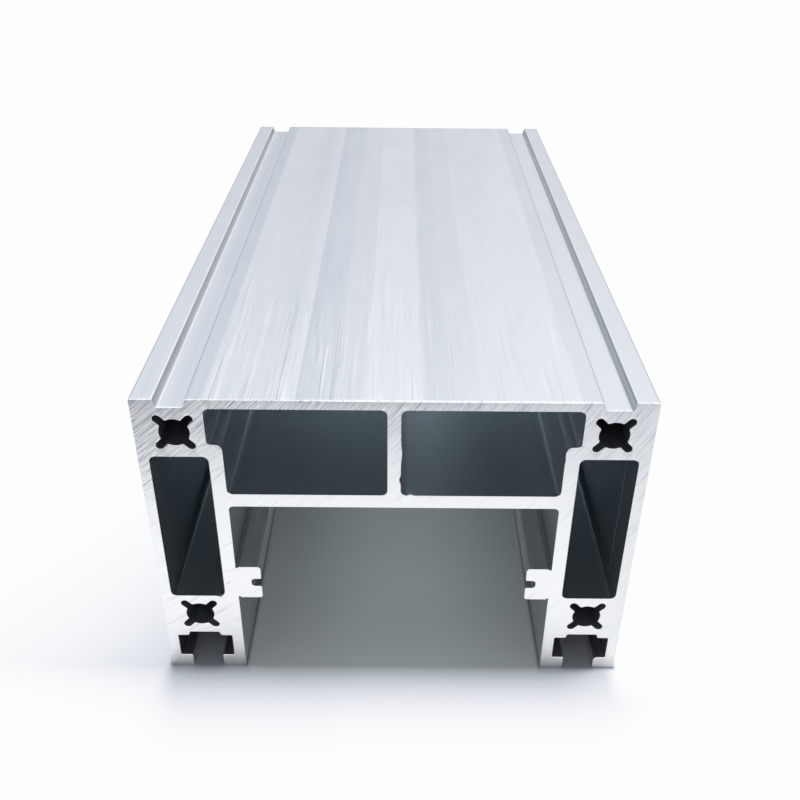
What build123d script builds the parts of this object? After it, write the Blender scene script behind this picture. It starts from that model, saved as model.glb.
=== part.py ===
from build123d import *
import os

# Cut length of extruded aluminium profile. All lengths are in millimetres.
# X runs across the section, Y along the stock and Z up from the floor under the two feet.
profile_width = 120.0
profile_height = 85.0
stock_length = 226.5
edge_round = 0.4

# Two hollow legs stand beside an open channel and carry a boxed deck.
leg_width = 20.0
leg_outer_wall = 2.6
leg_inner_wall = 3.5
deck_height = 30.3
deck_floor = 3.7
top_plate = 2.5
centre_web = 3.2
hollow_round = 1.5
channel_round = 1.2

# A rounded shoulder in the deck narrows each chamber below the upper screw port.
shoulder_drop = 12.3
shoulder_round = 1.7
shoulder_root_round = 1.0

# Each screw port is a round core with four chip lobes on its diagonals.
port_core = 7.2
port_span = 9.3
port_inset = 9.4
lobe_width = 2.0
lobe_mouth_round = 0.4
upper_port_cover = 2.15
lower_port_cover = 1.7

# The T-slot in each foot takes a bolt head behind its two lips.
slot_mouth = 8.1
slot_lip = 3.9
slot_head_height = 7.3
slot_outer_wall = 2.65
slot_inner_wall = 3.0
slot_round = 0.4
slot_roof = 1.95
relief_depth = 1.25
relief_round_share = 0.48

# A shallow groove with sloping sides runs along the top face over each leg.
groove_mouth = 7.45
groove_floor = 5.95
groove_depth = 2.1
groove_inset = 9.05

# Guide ribs face each other across the channel, with a notch along the middle of each.
rib_lift = 25.0
rib_thickness = 10.3
rib_reach = 6.25
rib_round = 0.8
rib_root_relief = 0.35
root_relief_share = 0.8
notch_width = 2.4
notch_depth = 2.55
notch_round_share = 0.38

# Places that follow from the sizes above, on the right-hand half of the section
half_width = profile_width / 2
channel_half = half_width - leg_width
channel_height = profile_height - deck_height
rib_top = rib_lift + rib_thickness
rib_tip = channel_half - rib_reach
rib_middle = rib_lift + rib_thickness / 2
slot_head_width = leg_width - slot_outer_wall - slot_inner_wall
slot_centre = half_width - slot_outer_wall - slot_head_width / 2
slot_height = slot_lip + slot_head_height + relief_depth
groove_centre = half_width - groove_inset
port_centre = half_width - port_inset
lower_port_height = slot_height + slot_roof + port_span / 2
upper_port_height = profile_height - groove_depth - upper_port_cover - port_span / 2
leg_hollow_floor = lower_port_height + port_span / 2 + lower_port_cover
leg_hollow_top = upper_port_height - port_span / 2 - upper_port_cover
leg_hollow_inside = channel_half + leg_inner_wall
leg_hollow_outside = half_width - leg_outer_wall
deck_hollow_floor = channel_height + deck_floor
deck_hollow_top = profile_height - top_plate
shoulder_height = profile_height - shoulder_drop


def corners(sketch, *points):
    """The sketch's corner nearest to each point."""
    return [sketch.vertices().sort_by_distance(point)[0] for point in points]


# Screw port: the core circle with its two crossed pairs of lobes, mouths eased
with BuildSketch() as screw_port:
    lobe_reach = (port_span - lobe_width) / 2
    Circle(port_core / 2)
    SlotCenterPoint((0, 0), (lobe_reach, lobe_reach), lobe_width)
    SlotCenterPoint((0, 0), (-lobe_reach, lobe_reach), lobe_width)
    lobe_mouths = screw_port.vertices().sort_by_distance((0, 0))[:8]
    fillet(lobe_mouths, lobe_mouth_round)

# T-slot, standing on the floor line: mouth and ceiling relief share one width, crossed by the head space
with BuildSketch() as t_slot:
    Rectangle(slot_mouth, slot_height, align=(Align.CENTER, Align.MIN))
    with Locations((0, slot_lip)):
        Rectangle(slot_head_width, slot_head_height, align=(Align.CENTER, Align.MIN))
    levels = t_slot.vertices().group_by(Axis.Y)
    head_corners = levels[1] + corners(
        t_slot,
        (-slot_head_width / 2, slot_lip + slot_head_height),
        (slot_head_width / 2, slot_lip + slot_head_height),
    )
    fillet(head_corners, slot_round)
    relief_corners = corners(
        t_slot,
        (-slot_mouth / 2, slot_lip + slot_head_height),
        (slot_mouth / 2, slot_lip + slot_head_height),
        (-slot_mouth / 2, slot_height),
        (slot_mouth / 2, slot_height),
    )
    fillet(relief_corners, relief_depth * relief_round_share)

# Deck chamber: a wide room over the shoulder and a narrower one down to the deck floor
with BuildSketch() as deck_chamber:
    chamber_rounds = [hollow_round] * 2 + [shoulder_round, shoulder_root_round] + [hollow_round] * 2
    with BuildLine():
        FilletPolyline(
            (centre_web / 2, deck_hollow_floor),
            (channel_half, deck_hollow_floor),
            (channel_half, shoulder_height),
            (leg_hollow_inside, shoulder_height),
            (leg_hollow_inside, deck_hollow_top),
            (centre_web / 2, deck_hollow_top),
            radius=chamber_rounds,
            close=True,
        )
    make_face()

# Right-hand half of the section, outline first and hollows after
with BuildSketch() as half_section:
    Rectangle(half_width, profile_height, align=(Align.MIN, Align.MIN))
    Rectangle(channel_half, channel_height, align=(Align.MIN, Align.MIN), mode=Mode.SUBTRACT)
    fillet(corners(half_section, (channel_half, channel_height)), channel_round)

    # Guide rib with its notch, and a small relief at each root corner
    with Locations((channel_half, rib_lift)):
        Rectangle(rib_reach, rib_thickness, align=(Align.MAX, Align.MIN))
    fillet(corners(half_section, (rib_tip, rib_lift), (rib_tip, rib_top)), rib_round)
    with Locations((rib_tip, rib_middle)):
        Rectangle(notch_depth, notch_width, align=(Align.MIN, Align.CENTER), mode=Mode.SUBTRACT)
    notch_low = rib_middle - notch_width / 2
    notch_high = rib_middle + notch_width / 2
    notch_end = rib_tip + notch_depth
    fillet(
        corners(half_section, (notch_end, notch_low), (notch_end, notch_high)),
        notch_width * notch_round_share,
    )
    fillet(corners(half_section, (rib_tip, notch_low), (rib_tip, notch_high)), edge_round)
    root_relief = channel_half - rib_root_relief * root_relief_share
    with Locations((root_relief, rib_lift), (root_relief, rib_top)):
        Circle(rib_root_relief, mode=Mode.SUBTRACT)

    # T-slot in the foot and groove in the top face, then the eased outside corners
    with Locations((slot_centre, 0)):
        add(t_slot.sketch, mode=Mode.SUBTRACT)
    with BuildLine():
        Polyline(
            (groove_centre - groove_mouth / 2, profile_height),
            (groove_centre - groove_floor / 2, profile_height - groove_depth),
            (groove_centre + groove_floor / 2, profile_height - groove_depth),
            (groove_centre + groove_mouth / 2, profile_height),
            close=True,
        )
    make_face(mode=Mode.SUBTRACT)
    outside_corners = corners(
        half_section,
        (channel_half, 0),
        (slot_centre - slot_mouth / 2, 0),
        (slot_centre + slot_mouth / 2, 0),
        (half_width, 0),
        (half_width, profile_height),
        (groove_centre - groove_mouth / 2, profile_height),
        (groove_centre + groove_mouth / 2, profile_height),
    )
    fillet(outside_corners, edge_round)

    # Leg chamber, screw ports and deck chamber
    with Locations((leg_hollow_inside, leg_hollow_floor)):
        RectangleRounded(
            leg_hollow_outside - leg_hollow_inside,
            leg_hollow_top - leg_hollow_floor,
            hollow_round,
            align=(Align.MIN, Align.MIN),
            mode=Mode.SUBTRACT,
        )
    with Locations((port_centre, lower_port_height), (port_centre, upper_port_height)):
        add(screw_port.sketch, mode=Mode.SUBTRACT)
    add(deck_chamber.sketch, mode=Mode.SUBTRACT)

# The whole section is the half and its mirror image, pressed out along the stock and sawn square.
with BuildPart() as extrusion_profile:
    with BuildSketch(Plane.XZ) as section:
        add(half_section.sketch)
        mirror(about=Plane.YZ)
    extrude(amount=stock_length / 2, both=True)

extrusion_profile.part.label = "extrusion_profile"
os.makedirs("parts", exist_ok=True)
export_step(extrusion_profile.part, "parts/extrusion_profile.step")
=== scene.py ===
import math

import bpy
import numpy as np
from mathutils import Matrix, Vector
from mathutils.geometry import delaunay_2d_cdt


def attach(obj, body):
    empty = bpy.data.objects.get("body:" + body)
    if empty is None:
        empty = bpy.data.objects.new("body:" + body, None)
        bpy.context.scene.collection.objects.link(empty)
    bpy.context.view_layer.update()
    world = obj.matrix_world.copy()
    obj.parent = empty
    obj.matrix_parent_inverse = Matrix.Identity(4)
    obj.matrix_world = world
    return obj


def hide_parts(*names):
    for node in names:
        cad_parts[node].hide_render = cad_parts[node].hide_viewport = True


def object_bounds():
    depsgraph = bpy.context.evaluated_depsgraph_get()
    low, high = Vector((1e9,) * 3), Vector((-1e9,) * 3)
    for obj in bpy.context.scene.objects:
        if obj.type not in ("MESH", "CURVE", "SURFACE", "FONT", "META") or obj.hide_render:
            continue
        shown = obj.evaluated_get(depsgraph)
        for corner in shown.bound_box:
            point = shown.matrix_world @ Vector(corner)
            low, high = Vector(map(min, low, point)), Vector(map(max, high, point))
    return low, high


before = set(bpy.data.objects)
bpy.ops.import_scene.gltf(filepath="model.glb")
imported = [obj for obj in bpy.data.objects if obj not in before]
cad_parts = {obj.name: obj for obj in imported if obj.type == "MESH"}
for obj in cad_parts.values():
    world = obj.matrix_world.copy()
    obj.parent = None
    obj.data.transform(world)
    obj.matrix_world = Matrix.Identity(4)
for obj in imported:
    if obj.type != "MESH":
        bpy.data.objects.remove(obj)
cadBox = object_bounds()
print("frame loaded:", sorted(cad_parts))


# A socket that can stand in a Python sum: every operator adds one Math node.
class Wire:
    def __init__(self, tree, socket=None):
        self.tree = tree
        self.socket = socket

    # Any node: its settings come first, then each socket gets a number, a colour or a wire.
    def node(self, kind, settings=None, sockets=None, output=0):
        made = self.tree.nodes.new("ShaderNode" + kind)
        for name, value in (settings or {}).items():
            if name == "stops":
                self.fillRamp(made.color_ramp, value)
            else:
                setattr(made, name, value)
        for name, value in (sockets or {}).items():
            if isinstance(value, Wire):
                self.tree.links.new(value.socket, made.inputs[name])
            else:
                made.inputs[name].default_value = value
        return Wire(self.tree, made.outputs[output])

    # A grey ramp: each stop is a place from 0 to 1 and a tone.
    def fillRamp(self, ramp, stops):
        while len(ramp.elements) < len(stops):
            ramp.elements.new(1.0)
        for element, (place, tone) in zip(ramp.elements, stops):
            element.position = place
            element.color = (tone, tone, tone, 1.0)

    # One Math node on two numbers or wires.
    def math(self, operation, first, second=0.0):
        return self.node("Math", {"operation": operation}, {0: first, 1: second})

    def __add__(self, other):
        return self.math("ADD", self, other)

    def __radd__(self, other):
        return self.math("ADD", other, self)

    def __sub__(self, other):
        return self.math("SUBTRACT", self, other)

    def __rsub__(self, other):
        return self.math("SUBTRACT", other, self)

    def __mul__(self, other):
        return self.math("MULTIPLY", self, other)

    def __rmul__(self, other):
        return self.math("MULTIPLY", other, self)

    def __truediv__(self, other):
        return self.math("DIVIDE", self, other)

    def __abs__(self):
        return self.math("ABSOLUTE", self)

    # The larger of this and another.
    def larger(self, other):
        return self.math("MAXIMUM", self, other)

    # 0 below low, 1 above high and a smooth step between.
    def rise(self, low, high):
        return self.node(
            "MapRange",
            {"interpolation_type": "SMOOTHSTEP"},
            {"Value": self, "From Min": low, "From Max": high},
        )

    # A vector stretched by three factors.
    def stretch(self, factors):
        return self.node("VectorMath", {"operation": "MULTIPLY"}, {0: self, 1: factors})

    # The three numbers of a vector.
    def parts(self):
        split = self.node("SeparateXYZ", None, {"Vector": self})
        return [Wire(self.tree, out) for out in split.socket.node.outputs]

    # The distance of a vector's tip from zero.
    def length(self):
        return self.node("VectorMath", {"operation": "LENGTH"}, {0: self}, output=1)

    # A vector less a fixed one.
    def less(self, centre):
        return self.node("VectorMath", {"operation": "SUBTRACT"}, {0: self, 1: centre})

    # Noise between 0 and 1 with a middle near a half; detail is the number of finer layers on it.
    def noise(self, detail):
        return self.node("TexNoise", None, {"Vector": self, "Scale": 1.0, "Detail": detail})

    # The colour that is a share of the way from one colour to another; either may be a wire.
    def blend(self, colourA, colourB):
        first, second = (c if isinstance(c, Wire) else (*c, 1.0) for c in (colourA, colourB))
        return self.node("Mix", {"data_type": "RGBA"}, {0: self, 6: first, 7: second}, output=2)


# An empty node tree with its output, ready for wires.
def freshTree(owner, outputKind):
    owner.use_nodes = True
    owner.node_tree.nodes.clear()
    return Wire(owner.node_tree), owner.node_tree.nodes.new("ShaderNode" + outputKind)


# Puts a principled shader under a material: even values on its own sockets, wires for the rest.
def metalShader(name, evenValues, wires):
    material = bpy.data.materials.new(name)
    start, output = freshTree(material, "OutputMaterial")
    sockets = {**evenValues, **wires(start)}
    shader = start.node("BsdfPrincipled", None, sockets)
    start.tree.links.new(shader.socket, output.inputs["Surface"])
    return material


# Finish of the pressed faces
millSkin = {
    "darkColour": (0.39, 0.435, 0.51),
    "lightColour": (0.95, 0.945, 0.935),
    "narrowShadeColour": (0.085, 0.115, 0.135),    # painted shade where the section leaves little room, as in a notch
    "narrowShadeShare": 1.0,
    "narrowShadePower": 3.5,
    "metallic": 1.0,
    "roughness": 0.30,
    "roughnessSpread": 0.16,
    "lineWidth": 0.0011,        # across the die lines
    "lineLength": 0.05,
    "lineTone": 0.23,
    "dragWidth": 0.00035,       # fine drag marks between the die lines
    "dragLength": 0.02,
    "dragTone": 0.32,
    "scoreWidth": 0.00028,      # a few thin scores, some dark and some bright
    "scoreLength": 0.06,
    "scoreTone": 0.10,
    "scoreLevels": (0.70, 0.78),       # noise between these grows into a score
    "clusterSize": (0.0035, 0.035),    # marks come in clusters, across and along
    "clusterLevels": (0.45, 0.62),
    "clusterShare": 0.45,       # strength between the clusters, and in them
    "clusterTone": 1.5,
    "calmTone": 0.3,            # marks are weaker towards the back and to the right
    "frontTone": 2.2,
    "frontReach": (-0.02, -0.10),
    "rightReach": (0.02, -0.03),
    "rightShare": 0.3,
    "landReach": (0.0430, 0.0437),    # and weaker over the legs
    "landShare": 0.3,
    "cloudSize": (0.008, 0.022, 0.008),
    "cloudTone": 0.13,
    "wallShadeTone": 0.10,           # painted shade: upright faces are darker, with broad bands over the height
    "wallLean": (0.5, 0.9),     # a face counts as upright as its normal's sideways part grows to this
    # painted shade: upright faces are also blended this far towards the dark colour of narrow places
    "wallShade": 0.20,
    "wallBand": 0.006,
    "wallBandLength": 1.0,
    "wallBandTone": 0.22,
    "wallStreak": 0.8,
    "insideShare": 0.3,         # share of the bands and streaks on walls inside this half width
    "insideReach": (0.041, 0.045),
    "slotLightTone": 0.25,           # painted light: the slots in the feet are brighter inside, up to here and out to here
    "slotTop": (0.0128, 0.0123),
    "slotOuter": (0.0595, 0.0590),
    # edges of the ribs that catch the light: place, reach and strength
    "glints": [
        ((-0.0341, 0.0, 0.0351), (0.0013, 1.0, 0.0013), 0.45),
        ((0.0341, 0.0, 0.0351), (0.0013, 1.0, 0.0013), 0.45),
        ((-0.0375, 0.0, 0.0353), (0.0050, 1.0, 0.0006), 0.30),
    ],
    "stains": [],
    "stainRoughness": 0.0,
    "stainMetallic": 0.0,
    "bumpHeight": 0.000004,
    # finer layers on each kind of noise
    "layers": {"line": 2.0, "drag": 3.0, "score": 0.0, "cloud": 3.0, "cluster": 1.0, "wall": 3.0},
    # bands along the stock, most left by the die: place across the width in millimetres and tone
    # the bright and dark lines at the grooves and the outer edges are painted highlights and painted shade
    "leftBands": [
        (-60.0, 0.57), (-59.99, 0.57), (-59.96, 0.05), (-59.68, 0.05), (-59.55, 0.57), (-55.1, 0.57),
        (-54.9, 0.92), (-54.68, 0.92), (-54.55, 0.84), (-54.2, 0.95), (-53.95, 1.0), (-53.5, 1.0),
        (-53.35, 0.62), (-50.5, 0.47), (-48.2, 0.51), (-47.4, 0.40), (-47.2, 0.10),
        (-47.0, 0.44), (-43.6, 0.44), (-43.3, 0.61), (-32.0, 0.605), (-28.5, 0.55), (-22.6, 0.67),
        (-22.3, 0.45), (-17.5, 0.53), (-15.0, 0.50), (-13.0, 0.585), (-6.6, 0.60), (-6.0, 0.69),
        (0.0, 0.69),
    ],
    "rightBands": [
        (0.0, 0.69), (5.8, 0.69), (7.4, 0.53), (12.0, 0.55), (13.0, 0.59), (19.0, 0.59), (19.8, 0.65),
        (30.0, 0.665), (42.4, 0.70), (42.8, 0.585), (46.8, 0.585), (47.2, 0.34), (48.0, 0.64), (52.4, 0.66),
        (53.5, 0.70), (53.8, 0.55), (53.97, 0.28), (54.2, 0.84), (54.42, 0.76), (54.58, 0.28),
        (54.72, 0.50), (54.85, 0.80), (55.1, 0.64), (59.55, 0.62), (59.68, 0.32), (59.96, 0.32),
        (59.99, 0.62), (60.0, 0.62),
    ],
}

# Finish inside the closed hollows, with painted shade on upright walls and painted highlights along some
# edges
hollowSkin = {
    **millSkin,
    "darkColour": (0.435, 0.485, 0.515),
    "lightColour": (0.895, 0.92, 0.935),
    "narrowShadeShare": 0.0,
    "metallic": 0.94,
    "roughness": 0.22,
    "roughnessSpread": 0.04,
    "lineTone": 0.06,
    "dragTone": 0.0,
    "scoreTone": 0.0,
    "cloudTone": 0.06,
    "wallShadeTone": 0.15,
    "wallShade": 0.0,
    "wallBandTone": 0.0,
    "wallStreak": 0.0,
    "slotLightTone": 0.0,
    "glints": [],
    "bumpHeight": 0.0000008,
    # dull stains: place, reach and strength. One is a line down the right leg's outer wall.
    "stains": [((0.0574, -0.1037, 0.047), (0.002, 0.00035, 0.032), 1.0)],
    "stainRoughness": 0.2,
    "stainMetallic": -0.7,
    # even walls, a lighter run in the right deck chamber, and painted highlights: bright lines along the
    # foot of each outer wall and along the two edges of its shoulder
    "leftBands": [
        (-60.0, 0.50), (-43.4, 0.50), (-43.3, 0.95), (-42.6, 0.95), (-42.4, 0.50), (-41.2, 0.50),
        (-41.0, 0.95), (-40.3, 0.95), (-40.2, 0.50), (-39.9, 0.50), (-39.75, 0.98), (-39.2, 0.98),
        (-39.0, 0.50), (-12.0, 0.50), (0.0, 0.54),
    ],
    "rightBands": [
        (0.0, 0.62), (4.0, 0.70), (10.0, 0.74), (17.0, 0.64), (24.0, 0.54), (39.0, 0.50), (39.2, 0.98),
        (39.75, 0.98), (39.9, 0.50), (40.2, 0.50), (40.3, 0.95), (41.0, 0.95), (41.2, 0.50), (42.4, 0.50),
        (42.6, 0.95), (43.3, 0.95), (43.4, 0.50), (60.0, 0.50),
    ],
}


# The tone of one half's bands, read off a ramp over that half of the width, in millimetres.
def bandTone(start, across, bands):
    low, high = bands[0][0], bands[-1][0]
    stops = [((x - low) / (high - low), tone) for x, tone in bands]
    return start.node("ValToRGB", {"stops": stops}, {"Fac": (across * 1000 - low) / (high - low)})


# Stains and glints: each is its strength times a smooth step down to nothing at one reach from its middle.
def spotted(place, spots):
    total = place.math("ADD", 0.0, 0.0)
    for centre, reach, strength in spots:
        away = place.less(centre).stretch([1 / r for r in reach]).length()
        total = total + away.rise(1.0, 0.0) * strength
    return total


# Die lines, drag marks and scores: noise that is narrow across the section and long along the stock, times
# its strength, added to the tone of the bands. Narrow places and upright faces get painted shade.
def pressedFace(name, look):
    def wires(start):
        place = start.node("TexCoord", output="Object")
        across, along, up = place.parts()
        onRight = start.math("GREATER_THAN", across, 0.0)
        leftTone = bandTone(start, across, look["leftBands"])
        band = leftTone + onRight * (bandTone(start, across, look["rightBands"]) - leftTone)

        def mark(kind, width, length):
            return place.stretch((1 / width, 1 / length, 1 / width)).noise(look["layers"][kind])

        line = mark("line", look["lineWidth"], look["lineLength"])
        drag = mark("drag", look["dragWidth"], look["dragLength"])
        score = mark("score", look["scoreWidth"], look["scoreLength"])
        cloud = place.stretch([1 / size for size in look["cloudSize"]]).noise(look["layers"]["cloud"])
        low, high = look["scoreLevels"]
        scores = score.rise(low, high) - score.rise(1 - low, 1 - high)
        streak = (line - 0.5) * look["lineTone"] + (drag - 0.5) * look["dragTone"]
        streak = streak + scores * look["scoreTone"]
        leftwards = look["rightShare"] + across.rise(*look["rightReach"]) * (1 - look["rightShare"])
        strong = along.rise(*look["frontReach"]) * leftwards
        strong = look["calmTone"] + strong * (look["frontTone"] - look["calmTone"])
        steep = abs(start.node("TexCoord", output="Normal").parts()[0]).rise(*look["wallLean"])
        share = 1 - abs(across).rise(*look["landReach"]) * (1 - look["landShare"])
        outside = abs(across).rise(*look["insideReach"])
        wallShare = look["insideShare"] + outside * (1 - look["insideShare"])
        cluster = mark("cluster", *look["clusterSize"]).rise(*look["clusterLevels"])
        cluster = look["clusterShare"] + cluster * (look["clusterTone"] - look["clusterShare"])
        streak = streak * (strong * share * cluster + steep * wallShare * look["wallStreak"])
        wallBand = mark("wall", look["wallBand"], look["wallBandLength"]) - 0.5
        wall = look["wallShadeTone"] - wallBand * wallShare * look["wallBandTone"]
        tone = band + streak + (cloud - 0.5) * look["cloudTone"] - steep * wall
        # Painted light in the slots of the feet, and painted glints on the ribs.
        inSlot = outside * abs(across).rise(*look["slotOuter"]) * up.rise(*look["slotTop"])
        tone = tone + inSlot * look["slotLightTone"] + spotted(place, look["glints"])
        # Painted shade: where the clearance is small, and on upright faces, the colour goes towards a dark
        # one.
        room = start.node("Attribute", {"attribute_name": "clearance"}, output="Fac")
        narrow = start.math("POWER", 1 - room, look["narrowShadePower"]) * look["narrowShadeShare"]
        narrow = narrow.larger(steep * look["wallShade"])
        stain = spotted(place, look["stains"])
        bump = start.node("Bump", None, {
            "Strength": 1.0, "Distance": look["bumpHeight"], "Height": drag + line,
        })
        metal = tone.blend(look["darkColour"], look["lightColour"])
        roughness = look["roughness"] + (cloud - 0.5) * look["roughnessSpread"]
        return {
            "Base Color": narrow.blend(metal, look["narrowShadeColour"]),
            "Roughness": roughness + stain * look["stainRoughness"],
            "Metallic": look["metallic"] + stain * look["stainMetallic"],
            "Normal": bump,
        }

    return metalShader(name, {}, wires)


# Finish of the sawn ends
sawnEnd = {
    "darkColour": (0.44, 0.47, 0.53),
    "lightColour": (0.985, 0.985, 0.99),
    "evenTone": 0.90,
    "roughness": 0.25,
    "roughnessSpread": 0.2,
    "sawCentre": (-0.171, 0.0, 0.211),   # the blade's axle, up and to the left of the section
    "markWidth": 0.0008,
    "markTurn": 0.055,                   # length of a mark, as an angle about the axle
    "markLayers": 2.0,
    "markTone": 0.54,
    "fineWidth": 0.00034,
    "fineShift": 7.0,                    # turned on by this many marks, so that the patterns differ
    "fineLevels": (0.32, 0.68),
    "fineRelief": 0.3,
    "fineTone": 0.50,
    "gougeWidth": 0.0012,
    "gougeShift": 23.0,
    "gougeLevels": (0.60, 0.74),
    "gougeTone": 0.45,
    "gougeShare": 0.45,                  # at least this share of a gouge shows
    "cleanTone": 0.22,                   # marks are weaker towards the feet
    "cleanReach": (0.040, 0.078),
    "innerShare": 0.45,                  # and on the inner walls of the legs
    "innerReach": (0.050, 0.044),
    "innerTop": (0.076, 0.070),
    "bumpHeight": 0.00006,
    "scorePlace": (-0.0423, 0.0300),     # a short score beside the left rib
    "scoreLean": 42.0,
    "scoreHalf": (0.0012, 0.00012),
    "scoreTone": 0.55,
}


# A score: 1 within half its length and half its width of its middle, on axes turned by its lean.
def scoreMask(place, look):
    x, y, z = place.parts()
    x, z = x - look["scorePlace"][0], z - look["scorePlace"][1]
    lean = math.radians(look["scoreLean"])
    along = abs(x * math.cos(lean) + z * math.sin(lean))
    across = abs(z * math.cos(lean) - x * math.sin(lean))
    halfLength, halfWidth = look["scoreHalf"]
    onFront = y.rise(0.0, cadBox[0].y)
    return along.rise(halfLength, halfLength / 2) * across.rise(halfWidth, halfWidth / 2) * onFront


# Saw marks: noise over the distance from the axle, in which a mark is narrow, and over the angle about it,
# in which a mark is long. They are weaker low down and on the inner walls.
def sawnFace(name, look):
    def wires(start):
        place = start.node("TexCoord", output="Object")
        arm = place.less(look["sawCentre"])
        x, y, z = arm.parts()
        reach = arm.stretch((1, 0, 1)).length()
        turn = start.math("ARCTAN2", z, x)

        def mark(width, shift):
            spot = start.node("CombineXYZ", None, {
                "X": reach / width, "Y": turn / look["markTurn"] + shift, "Z": y / width,
            })
            return spot.noise(look["markLayers"])

        wide = mark(look["markWidth"], 0.0)
        fine = mark(look["fineWidth"], look["fineShift"]).rise(*look["fineLevels"])
        gouge = mark(look["gougeWidth"], look["gougeShift"]).rise(*look["gougeLevels"])
        relief = wide + fine * look["fineRelief"] - gouge
        across, along, up = place.parts()
        strong = up.rise(*look["cleanReach"])
        strong = look["cleanTone"] + strong * (1 - look["cleanTone"])
        inner = abs(across).rise(*look["innerReach"]) * up.rise(*look["innerTop"])
        strong = strong * (1 - inner * (1 - look["innerShare"]))
        cut = (wide - 0.5) * look["markTone"] + (fine - 0.5) * look["fineTone"]
        torn = gouge * strong.larger(look["gougeShare"]) * look["gougeTone"]
        tone = look["evenTone"] + cut * strong - torn - scoreMask(place, look) * look["scoreTone"]
        bump = start.node("Bump", None, {
            "Strength": 1.0, "Distance": look["bumpHeight"], "Height": relief * strong * strong,
        })
        return {
            "Base Color": tone.blend(look["darkColour"], look["lightColour"]),
            "Roughness": look["roughness"] + (fine - 0.5) * look["roughnessSpread"] * strong,
            "Normal": bump,
        }

    return metalShader(name, {"Metallic": 1.0}, wires)


# The length of stock
stock = {
    "node": "extrusion_profile",
    "body": "root",
    "slot": "mill_aluminium",
    "piece": "sawn_profile_stock",
    "mergeGrid": 1e-6,            # corners that round to the same grid point are one point
    "pointStep": 0.0006,          # longest stretch between two points round the section
    "topStep": 0.00025,           # and along the top
    "edgeBreak": 0.00014,         # broken edge round the sawn ends
    "landEdgeBreak": 0.00022,     # along the top over the legs and on the groove floors
    "topEdgeBreak": (0.00012, 0.00050),    # along the plate, on its ragged left and its even right
    "topFrom": 0.08,              # the top begins at this height, and the plate ends at this half width
    "plateHalf": 0.047,
    "breakAngles": (0, 25, 65, 90),        # where the rings of a broken edge stand on its quarter round
    "roundShare": 0.75,           # a broken edge takes at most this share of a corner's radius
    "leastBend": 0.001,           # a straight stretch counts as bent by this
    "raggedStep": 0.0005,         # length and depth of the burr's teeth
    "raggedDepth": 0.00034,
    "raggedUntil": (-0.022, -0.010),    # the burr is ragged left of here and even right of it
    "evenShare": 0.06,            # share of the raggedness on the even part, and over the legs
    "landShare": 0.5,
    "seed": 5,
    "lookReach": 0.03,            # how far a point's lookouts reach, where they start, and their angles
    "lookStart": 0.00002,
    "lookAngles": (-60, -40, -20, 0, 20, 40, 60),
    "ringDepths": (0.0012, 0.004, 0.012, 0.04),    # plain rings behind each broken edge
    "capMargin": 1e-9,            # points of a cap that lie closer than this are one point
    "sharpAngle": 28.0,           # edges that turn more than this stay sharp
    "channelHalf": 0.04,          # half the channel between the legs
    # nicks and burrs at the front cut: place, push and reach in the section, depth along the stock
    "nicks": [
        ((0.0017, 0.0705), (0.00030, 0.0), 0.0022, 0.0010),
        ((0.0017, 0.0630), (-0.00042, 0.0), 0.0008, 0.0012),
        ((0.0404, 0.0690), (0.00035, 0.0), 0.0005, 0.0008),
        ((-0.0446, 0.0252), (0.0, -0.00070), 0.0005, 0.0012),
        ((0.0039, 0.0584), (0.0, 0.00055), 0.00042, 0.0006),
        ((0.0542, 0.0039), (0.00030, -0.00030), 0.0006, 0.0020),
    ],
}


# The section: triangles of the front cap, whose once-used edges are its outlines, chained into closed runs.
def readSection(node, grid):
    mesh = node.data
    mesh.calc_loop_triangles()
    corner = np.empty(len(mesh.vertices) * 3, np.float32)
    mesh.vertices.foreach_get("co", corner)
    corner = corner.reshape(-1, 3).astype(float)
    triangle = np.empty(len(mesh.loop_triangles) * 3, np.int32)
    mesh.loop_triangles.foreach_get("vertices", triangle)
    triangle = triangle.reshape(-1, 3)
    onCap = corner[:, 1] < corner[:, 1].min() + grid
    triangle = triangle[onCap[triangle].all(axis=1)]
    point, place = np.unique(np.round(corner[:, [0, 2]] / grid), axis=0, return_inverse=True)
    place = place.ravel()
    edge = place[np.stack([triangle, np.roll(triangle, -1, axis=1)], axis=-1)].reshape(-1, 2)
    edge, uses = np.unique(np.sort(edge, axis=1), axis=0, return_counts=True)
    flat = np.insert(point * grid, 1, 0.0, axis=1)
    wire = bpy.data.meshes.new("sectionWire")
    wire.from_pydata(flat.tolist(), edge[uses == 1].tolist(), [])
    runner = bpy.data.objects.new("sectionWire", wire)
    bpy.context.scene.collection.objects.link(runner)
    bpy.ops.object.select_all(action="DESELECT")
    bpy.context.view_layer.objects.active = runner
    runner.select_set(True)
    bpy.ops.object.convert(target="CURVE")
    runner = bpy.context.view_layer.objects.active
    loops = []
    for spline in runner.data.splines:
        run = np.empty(len(spline.points) * 4, np.float32)
        spline.points.foreach_get("co", run)
        loops.append(run.reshape(-1, 4)[:, [0, 2]].astype(float))
    bpy.data.objects.remove(runner)
    return loops


# Area inside a loop: half the sum of x times the next z less the next x times z, positive if it turns left.
def loopArea(loop):
    after = np.roll(loop, -1, axis=0)
    return 0.5 * np.sum(loop[:, 0] * after[:, 1] - after[:, 0] * loop[:, 1])


# Cuts every edge longer than its step into equal pieces and keeps the corners.
def evenOut(loop, isOuter, look):
    along = np.roll(loop, -1, axis=0) - loop
    onTop = isOuter & (np.minimum(loop[:, 1], np.roll(loop[:, 1], -1)) > look["topFrom"])
    step = np.where(onTop, look["topStep"], look["pointStep"])
    pieces = np.maximum(1, np.ceil(np.linalg.norm(along, axis=1) / step)).astype(int)
    which = np.repeat(np.arange(len(loop)), pieces)
    count = np.arange(len(which)) - np.repeat(np.cumsum(pieces) - pieces, pieces)
    return loop[which] + along[which] * (count / pieces[which])[:, None]


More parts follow.
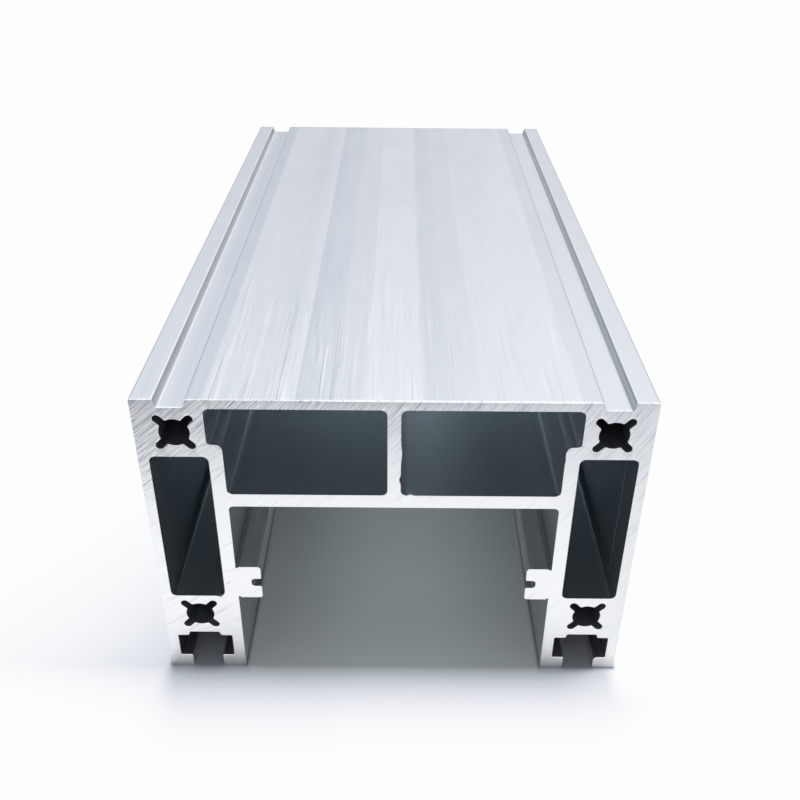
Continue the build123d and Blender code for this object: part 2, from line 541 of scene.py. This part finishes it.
# Push that moves both edges at a point out by one: the sum of their normals over one plus the cosine
# between them.
def outwardPush(loop):
    along = np.roll(loop, -1, axis=0) - loop
    along /= np.linalg.norm(along, axis=1, keepdims=True)
    after = np.stack([along[:, 1], -along[:, 0]], axis=1)
    before = np.roll(after, 1, axis=0)
    return (before + after) / (1 + np.sum(before * after, axis=1, keepdims=True))


# Width of the broken edge: plain, wider along the top, and ragged where the saw left a burr there. It stays
# within a share of the corner's own radius, which is the shorter edge beside a point over the turn there.
def brokenWidth(loop, push, isOuter, look, rng):
    along = np.roll(loop, -1, axis=0) - loop
    length = np.linalg.norm(along, axis=1)
    along /= length[:, None]
    bend = np.arccos(np.clip(np.sum(along * np.roll(along, 1, axis=0), axis=1), -1, 1))
    room = look["roundShare"] * np.minimum(length, np.roll(length, 1)) / np.maximum(bend, look["leastBend"])
    travel = np.cumsum(length) - length
    knots = np.arange(0, travel[-1] + 2 * look["raggedStep"], look["raggedStep"])
    ragged = np.interp(travel, knots, rng.random(len(knots)) ** 2)
    onTop = np.clip(push[:, 1], 0, 1) ** 2 * (isOuter & (loop[:, 1] > look["topFrom"]))
    onPlate = np.abs(loop[:, 0]) < look["plateHalf"]
    even = np.clip(np.interp(loop[:, 0], look["raggedUntil"], (0, 1)), 0, 1)
    top = np.where(onPlate, np.interp(even, (0, 1), look["topEdgeBreak"]), look["landEdgeBreak"])
    rough = np.where(onPlate, np.interp(even, (0, 1), (1, look["evenShare"])), look["landShare"])
    plain = look["edgeBreak"] + (top - look["edgeBreak"]) * onTop
    return np.minimum(plain + look["raggedDepth"] * ragged * onTop * rough, room)


# Pushes points near each nick, by a bell over the distance in the section that fades with the depth from
# the cut.
def nicked(xz, depth, nicks):
    for centre, push, reach, fade in nicks:
        far = np.linalg.norm(xz - np.array(centre), axis=-1)
        bell = np.exp(-(far / reach) ** 2) * np.clip(1 - depth / fade, 0, 1)
        xz = xz + bell[..., None] * np.array(push)
    return xz


# Clearance: the mean distance, up to a reach, that lines from a point run before they meet an outline, over
# that reach. A line and an edge meet where both are solved for by cross products.
def clearance(point, push, first, last, look):
    normal = push / np.linalg.norm(push, axis=1, keepdims=True)
    edge = last - first
    gap = first[None] - (point + normal * look["lookStart"])[:, None]
    total = np.zeros(len(point))
    for turn in np.radians(look["lookAngles"]):
        ray = normal @ np.array([[math.cos(turn), math.sin(turn)], [-math.sin(turn), math.cos(turn)]])
        with np.errstate(divide="ignore", invalid="ignore"):
            cross = ray[:, None, 0] * edge[:, 1] - ray[:, None, 1] * edge[:, 0]
            far = (gap[..., 0] * edge[:, 1] - gap[..., 1] * edge[:, 0]) / cross
            share = (gap[..., 0] * ray[:, None, 1] - gap[..., 1] * ray[:, None, 0]) / cross
            met = (far > 0) & (share >= 0) & (share <= 1)
        total += np.min(np.where(met, far, look["lookReach"]), axis=1, initial=look["lookReach"])
    return total / (len(look["lookAngles"]) * look["lookReach"])


# One end's rings: a quarter round of the broken edge, inset by its width times one less the sine and as
# deep as its width times one less the cosine, then plain rings at growing depth.
def endRings(loop, push, width, look):
    turn = np.radians(look["breakAngles"])[:, None]
    inset = (1 - np.sin(turn)) * width
    depth = (1 - np.cos(turn)) * width
    plain = np.array(look["ringDepths"])[:, None] * np.ones(len(loop))
    depth = np.concatenate([depth, plain])
    inset = np.concatenate([inset, np.zeros_like(plain)])
    return loop - push * inset[..., None], depth


# Triangles of a cap, from all triangles between the outlines. Metal is to the left of every outline, so
# a triangle with its corners on one outline is kept only if they turn left when taken in its order.
def capTriangles(xz, edge, owner, margin):
    made = delaunay_2d_cdt(xz.tolist(), edge.tolist(), [], 0, margin)
    origin = np.array([found[0] for found in made[3]])
    triangle = origin[np.array(made[2])]
    a, b, c = (xz[corner] for corner in np.sort(triangle, axis=1).T)
    turn = (b - a)[:, 0] * (c - a)[:, 1] - (b - a)[:, 1] * (c - a)[:, 0]
    shared = (owner[triangle] == owner[triangle[:, :1]]).all(axis=1)
    return triangle[~shared | (turn > 0)]


# Carries the section along the stock: rings of points, joined by four-sided faces and closed by two caps.
def buildStock(look):
    rng = np.random.default_rng(look["seed"])
    loops = readSection(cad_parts[look["node"]], look["mergeGrid"])
    loops.sort(key=lambda loop: -abs(loopArea(loop)))
    first = np.concatenate(loops)
    last = np.concatenate([np.roll(loop, -1, axis=0) for loop in loops])
    rings, depths, following, owner, room = [[], []], [[], []], [], [], []
    count = 0
    for order, loop in enumerate(loops):
        isOuter = order == 0
        if (loopArea(loop) > 0) != isOuter:
            loop = loop[::-1]
        loop = evenOut(loop, isOuter, look)
        push = outwardPush(loop)
        for end in (0, 1):
            width = brokenWidth(loop, push, isOuter, look, rng)
            xz, depth = endRings(loop, push, width, look)
            rings[end].append(nicked(xz, depth, look["nicks"]) if end == 0 else xz)
            depths[end].append(depth)
        following.append(count + np.roll(np.arange(len(loop)), -1))
        owner.append(np.full(len(loop), order))
        room.append(clearance(loop, push, first, last, look))
        count += len(loop)
    front, back = (np.concatenate(end, axis=1) for end in rings)
    frontDepth, backDepth = (np.concatenate(end, axis=1) for end in depths)
    following, owner = np.concatenate(following), np.concatenate(owner)
    xz = np.concatenate([front, back[::-1]])
    y = np.concatenate([cadBox[0].y + frontDepth, (cadBox[1].y - backDepth)[::-1]])
    vertex = np.stack([xz[..., 0], y, xz[..., 1]], axis=-1)
    ringCount, pointCount = y.shape
    index = np.arange(ringCount * pointCount).reshape(ringCount, pointCount)
    here, ahead = index[:-1], index[1:]
    side = np.stack([here, ahead, ahead[:, following], here[:, following]], axis=-1)
    edge = np.stack([np.arange(pointCount), following], axis=1)
    frontCap = capTriangles(xz[0], edge, owner, look["capMargin"])
    backCap = capTriangles(xz[-1], edge, owner, look["capMargin"])[:, ::-1] + index[-1, 0]
    row = np.arange(ringCount - 1)
    cutRows = np.minimum(row, row[::-1]) < len(look["breakAngles"]) - 1
    finish = np.where(cutRows[:, None], 2, np.where(owner == 0, 0, 1)[None, :])
    finish = np.concatenate([finish.ravel(), np.full(len(frontCap) + len(backCap), 2)])
    mesh = bpy.data.meshes.new(look["piece"])
    faces = side.reshape(-1, 4).tolist() + frontCap.tolist() + backCap.tolist()
    mesh.from_pydata(vertex.reshape(-1, 3).tolist(), [], faces)
    mesh.polygons.foreach_set("material_index", finish.astype(np.int32))
    mesh.polygons.foreach_set("use_smooth", np.ones(len(faces), bool))
    # The clearance of each point, by which the pressed faces paint shade in narrow places.
    roomLayer = mesh.attributes.new("clearance", "FLOAT", "POINT")
    roomLayer.data.foreach_set("value", np.tile(np.concatenate(room), ringCount).astype(np.float32))
    mesh.update()
    mesh.set_sharp_from_angle(angle=math.radians(look["sharpAngle"]))
    for material in (
        pressedFace("pressed_skin", millSkin),
        pressedFace("hollow_skin", hollowSkin),
        sawnFace("sawn_end", sawnEnd),
    ):
        mesh.materials.append(material)
    piece = bpy.data.objects.new(look["piece"], mesh)
    bpy.context.scene.collection.objects.link(piece)
    even = piece.modifiers.new("evenShading", "WEIGHTED_NORMAL")
    even.keep_sharp = True
    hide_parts(look["node"])
    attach(piece, look["body"])
    print("stock:", len(loops), "outlines,", pointCount, "points a ring,", len(faces), "faces")
    return piece


buildStock(stock)

# The white table
table = {
    "size": 6.0,
    "below": 0.00003,             # just under the feet
    # the plain table, seen where the white glow gives way: lit by the lamps, but darker and greener than
    # white, so partly painted shade
    "colour": (0.585, 0.62, 0.61),
    "channelGlow": (0.071, 0.081, 0.081),   # painted glow in place of light that the channel passes on to the table between the legs
    "glowReach": (0.020, 0.0),    # it ends over this length before the cut and grows behind the cut
    "glowBack": 0.52,
    "glowBackReach": (-0.108, -0.07),
    "glowSide": 0.62,             # and it weakens from its middle line to the legs
    "glowSideReach": (0.004, 0.044),
    "glowMiddle": 0.003,
    "channelSoft": 0.001,         # bounds of the channel's table, which grow softer before the cut
    "channelSpread": 0.70,
    "fadeLength": 0.0107,         # the shade before the cut falls to a third over about this length
    "quickLength": 0.045,         # and falls quicker further out
    "leftStart": 0.008,           # beside the left leg the fade has a head start, and more so further back
    "leftStretch": 0.25,
    "leftBack": 0.20,
    "leftSoft": 0.002,
    "rightStart": 0.030,          # beside the right leg, on the lamp's side, there is next to no shade
    "rightSoft": 0.0015,
    "footStart": 0.0064,          # and before it the fade has a head start too, most at its outer edge
    "footReach": (0.040, 0.062),
    "footEase": (0.75, 0.020),    # share of the start that is lost further out, and over which length
    "edgeStart": 0.010,
    "edgeReach": (0.0565, 0.0605),
    "edgeEase": (0.9, 0.014),
    "footSoft": (-0.0003, 0.0020),
    "footSlant": 0.4,
    "middleGain": 0.12,           # the fade is a little quicker in the middle and to the right
    "middleReach": (-0.025, 0.0),
    "lipDim": 0.25,               # what the right foot's lip reflects is dimmer
    "lipReach": (0.050, 0.056),
    "lipSoft": (0.006, 0.002),
    "innerDim": (0.42, 0.22),     # and what the inner lips reflect, on the left and on the right
    "innerReach": (0.049, 0.045),
    "sideReach": (-0.01, 0.01),   # where the left passes into the right
    "spread": 0.35,               # the bounds of the shade grow softer by this share of the way out
    "underFootShadeColour": (0.335, 0.355, 0.385),    # painted shade: the table under the feet is darker
    "slotSoft": (0.0, 0.004),
    "white": 0.985,               # the white light, as the camera sees it
    "nearTone": 1.03,             # and as metal sees it near the cut, less on the right
    "nearRightTone": 0.90,
    "nearReach": (0.050, 0.075),
    "frontFrom": -0.210,          # further out the table that the cut reflects gets darker
    "frontTo": -0.226,
    "leftLean": 0.017,            # on the left that starts nearer to the cut
    "leanReach": (-0.060, -0.090),
    "frontHalf": 0.1,
    # tone there across the width, from the left to the right
    "frontTones": [(0.0, 0.48), (0.27, 0.62), (0.5, 0.56), (0.72, 0.65), (1.0, 0.71)],
    "strayTone": 0.45,            # share of its light that goes on from one dull surface to another
    "farFrom": 0.35,              # and far from the stock it is dim all round
    "farTo": 0.9,
    "farTone": 0.4,
    "shadeColour": (0.90, 0.955, 1.10),     # tint of the white light in the shade, as the camera sees it
    "nearColour": (0.955, 0.975, 1.0),      # and as metal sees it, near the cut and further out
    "farColour": (0.90, 0.94, 1.0),
}


# Paints the shade on the table: plain under the stock, and an even white glow takes over as one less e to
# the minus distance, which counts for more further out. From below the table is clear.
def tableFinish(look):
    material = bpy.data.materials.new("white_table")
    start, output = freshTree(material, "OutputMaterial")
    place = start.node("TexCoord", output="Object")
    x, y, z = place.parts()
    ahead = (abs(y) - cadBox[1].y).larger(0.0) * (1 + x.rise(*look["middleReach"]) * look["middleGain"])

    def eased(share, length):
        return 1 - ahead.rise(0.0, length) * share

    edge = eased(*look["edgeEase"])
    foot = x.rise(*look["footReach"]) * look["footStart"] * eased(*look["footEase"])
    foot = foot + x.rise(*look["edgeReach"]) * look["edgeStart"] * edge
    slant = (look["edgeReach"][0] - x).larger(0.0) * look["footSlant"]
    foot = foot * ahead.rise(look["footSoft"][0], slant + look["footSoft"][1])
    left, right = (cadBox[0].x - x).larger(0.0), (x - cadBox[1].x).larger(0.0)
    back = look["leftStart"] + (y - cadBox[0].y).larger(0.0) * look["leftBack"]
    spread = ahead * look["spread"]
    leftShare = x.rise(cadBox[0].x + spread, cadBox[0].x - look["leftSoft"] - spread)
    left = left * look["leftStretch"] + leftShare * back
    rightShare = x.rise(cadBox[1].x - spread, cadBox[1].x + look["rightSoft"] + spread)
    right = right + rightShare * look["rightStart"] * edge
    away = ahead + foot + left + right
    lit = 1 - start.math("EXPONENT", away / -look["fadeLength"] * (1 + away / look["quickLength"]))
    ray = start.node("LightPath").socket.node.outputs
    seen = Wire(start.tree, ray["Is Camera Ray"])
    stray = 1 - Wire(start.tree, ray["Diffuse Depth"]).rise(0.0, 1.0) * (1 - look["strayTone"])
    low = start.node("ValToRGB", {"stops": look["frontTones"]}, {"Fac": x / (2 * look["frontHalf"]) + 0.5})
    near = look["nearTone"] + x.rise(*look["nearReach"]) * (look["nearRightTone"] - look["nearTone"])
    leaned = y - x.rise(*look["leanReach"]) * look["leftLean"]
    close = leaned.rise(look["frontTo"], look["frontFrom"])
    dim = x.rise(*look["lipReach"]) * look["lipDim"]
    dimLeft, dimRight = look["innerDim"]
    inner = dimLeft + x.rise(*look["sideReach"]) * (dimRight - dimLeft)
    dim = dim + abs(x).rise(*look["innerReach"]) * inner
    near = near * (1 - ahead.rise(*look["lipSoft"]) * dim)
    tone = low + close * (near - low)
    tone = tone * (1 - place.length().rise(look["farFrom"], look["farTo"]) * (1 - look["farTone"]))
    shine = close.blend(look["farColour"], look["nearColour"])
    white = start.node("Emission", None, {
        "Color": seen.blend(shine, (lit * lit).blend(look["shadeColour"], (1.0, 1.0, 1.0))),
        "Strength": seen * look["white"] + (1 - seen) * tone * stray,
    })
    half, blur = stock["channelHalf"], ahead * look["channelSpread"]
    between = abs(x).rise(half + blur, half - look["channelSoft"] - blur)
    # Painted shade: under the legs, off the channel, the plain table takes the darker colour.
    clear = between.larger(away.rise(*look["slotSoft"]))
    plain = start.node("BsdfDiffuse", None, {"Color": clear.blend(look["underFootShadeColour"], look["colour"])})
    deep = 1 + y.rise(*look["glowBackReach"]) * look["glowBack"]
    deep = deep * (1 - abs(x - look["glowMiddle"]).rise(*look["glowSideReach"]) * look["glowSide"])
    glow = start.node("Emission", None, {
        "Color": (*look["channelGlow"], 1.0), "Strength": between * away.rise(*look["glowReach"]) * deep,
    })
    shade = start.node("AddShader", None, {0: plain, 1: glow})
    surface = start.node("MixShader", None, {0: lit, 1: shade, 2: white})
    below = start.node("NewGeometry", output="Backfacing")
    surface = start.node("MixShader", None, {0: below, 1: surface, 2: start.node("BsdfTransparent")})
    start.tree.links.new(surface.socket, output.inputs["Surface"])
    return material


# A flat square under the feet.
def layTable(look):
    half = look["size"] / 2
    corner = np.array([[-1, -1], [1, -1], [1, 1], [-1, 1]]) * half
    vertex = np.insert(corner, 2, cadBox[0].z - look["below"], axis=1)
    mesh = bpy.data.meshes.new("white_table")
    mesh.from_pydata(vertex.tolist(), [], [(0, 1, 2, 3)])
    mesh.materials.append(tableFinish(look))
    sheet = bpy.data.objects.new("white_table", mesh)
    bpy.context.scene.collection.objects.link(sheet)


layTable(table)
print("table laid")

# Soft light: a broad panel overhead and an even room
light = {
    "panelSize": 0.7,
    "panelPlace": (0.14, 0.26, 0.85),
    "panelPower": 3.6,
    "panelColour": (1.0, 0.99, 0.975),
    "roomLevel": 0.52,
    "roomColour": (0.94, 0.965, 1.0),
    # brightness of the room as metal sees it: upward share of the direction and tone
    "sky": [
        (0.0, 0.30), (0.12, 0.60), (0.26, 0.70), (0.36, 0.775), (0.49, 0.924), (0.525, 1.02), (0.6, 1.0),
        (0.75, 0.97), (1.0, 0.86),
    ],
    "skyLevel": 1.2,
    "sideTone": 0.08,             # how much brighter the right side of the room is than its middle
    "lowColour": (0.905, 0.94, 1.015),    # the room is bluer low down, and from higher up on its left
    "lowReach": (0.46, 0.34),
    "lowLean": 0.35,
    "metalBounces": 12,           # light goes down the long hollows from wall to wall
}


# Lights the room: white to the camera, and to metal darker near the horizon and to the left, and bluer
# low down.
def lightRoom(look):
    world = bpy.data.worlds.new("white_room")
    bpy.context.scene.world = world
    start, output = freshTree(world, "OutputWorld")
    ray = start.node("LightPath").socket.node.outputs
    seen = Wire(start.tree, ray["Is Camera Ray"])
    shine = Wire(start.tree, ray["Is Glossy Ray"]).larger(Wire(start.tree, ray["Is Transmission Ray"]))
    x, y, z = start.node("TexCoord", output="Generated").parts()
    sky = start.node("ValToRGB", {"stops": look["sky"]}, {"Fac": z})
    tone = sky * look["skyLevel"] + x * look["sideTone"]
    level = look["roomLevel"] + shine * (tone - look["roomLevel"])
    level = level + seen * (table["white"] - level)
    low = (z + x * look["lowLean"]).rise(*look["lowReach"])
    colour = seen.blend(low.blend(look["roomColour"], look["lowColour"]), (1.0, 1.0, 1.0))
    ground = start.node("Background", None, {"Color": colour, "Strength": level})
    start.tree.links.new(ground.socket, output.inputs["Surface"])
    lamp = bpy.data.lights.new("overhead_panel", "AREA")
    lamp.size = look["panelSize"]
    lamp.energy = look["panelPower"]
    lamp.color = look["panelColour"]
    panel = bpy.data.objects.new("overhead_panel", lamp)
    panel.location = look["panelPlace"]
    panel.visible_glossy = False
    bpy.context.scene.cycles.glossy_bounces = look["metalBounces"]
    bpy.context.scene.collection.objects.link(panel)


lightRoom(light)
print("room lit")

# Camera that took the photograph, solved from the section's corners
camera = {
    "focalPixels": 914.25,
    "imagePixels": 800,
    "sensor": 36.0,
    "nearClip": 0.01,
    "pitch": 31.655,
    "yaw": 0.084,
    "roll": 0.501,
    "place": (0.00098, -0.28774, 0.19296),
}


# Turns the camera by yaw about the upright, tilts it down by pitch and rolls it about its line of sight.
def placeCamera(look):
    eye = bpy.data.cameras.new("photo_camera")
    eye.sensor_width = look["sensor"]
    eye.lens = look["sensor"] * look["focalPixels"] / look["imagePixels"]
    eye.clip_start = look["nearClip"]
    stand = bpy.data.objects.new("photo_camera", eye)
    turn = Matrix.Rotation(math.radians(-look["yaw"]), 4, "Z")
    tilt = Matrix.Rotation(math.radians(90 - look["pitch"]), 4, "X")
    roll = Matrix.Rotation(math.radians(look["roll"]), 4, "Z")
    stand.matrix_world = Matrix.Translation(look["place"]) @ turn @ tilt @ roll
    bpy.context.scene.collection.objects.link(stand)
    bpy.context.scene.camera = stand


placeCamera(camera)
bpy.context.scene.view_settings.view_transform = "Standard"
print("camera placed")
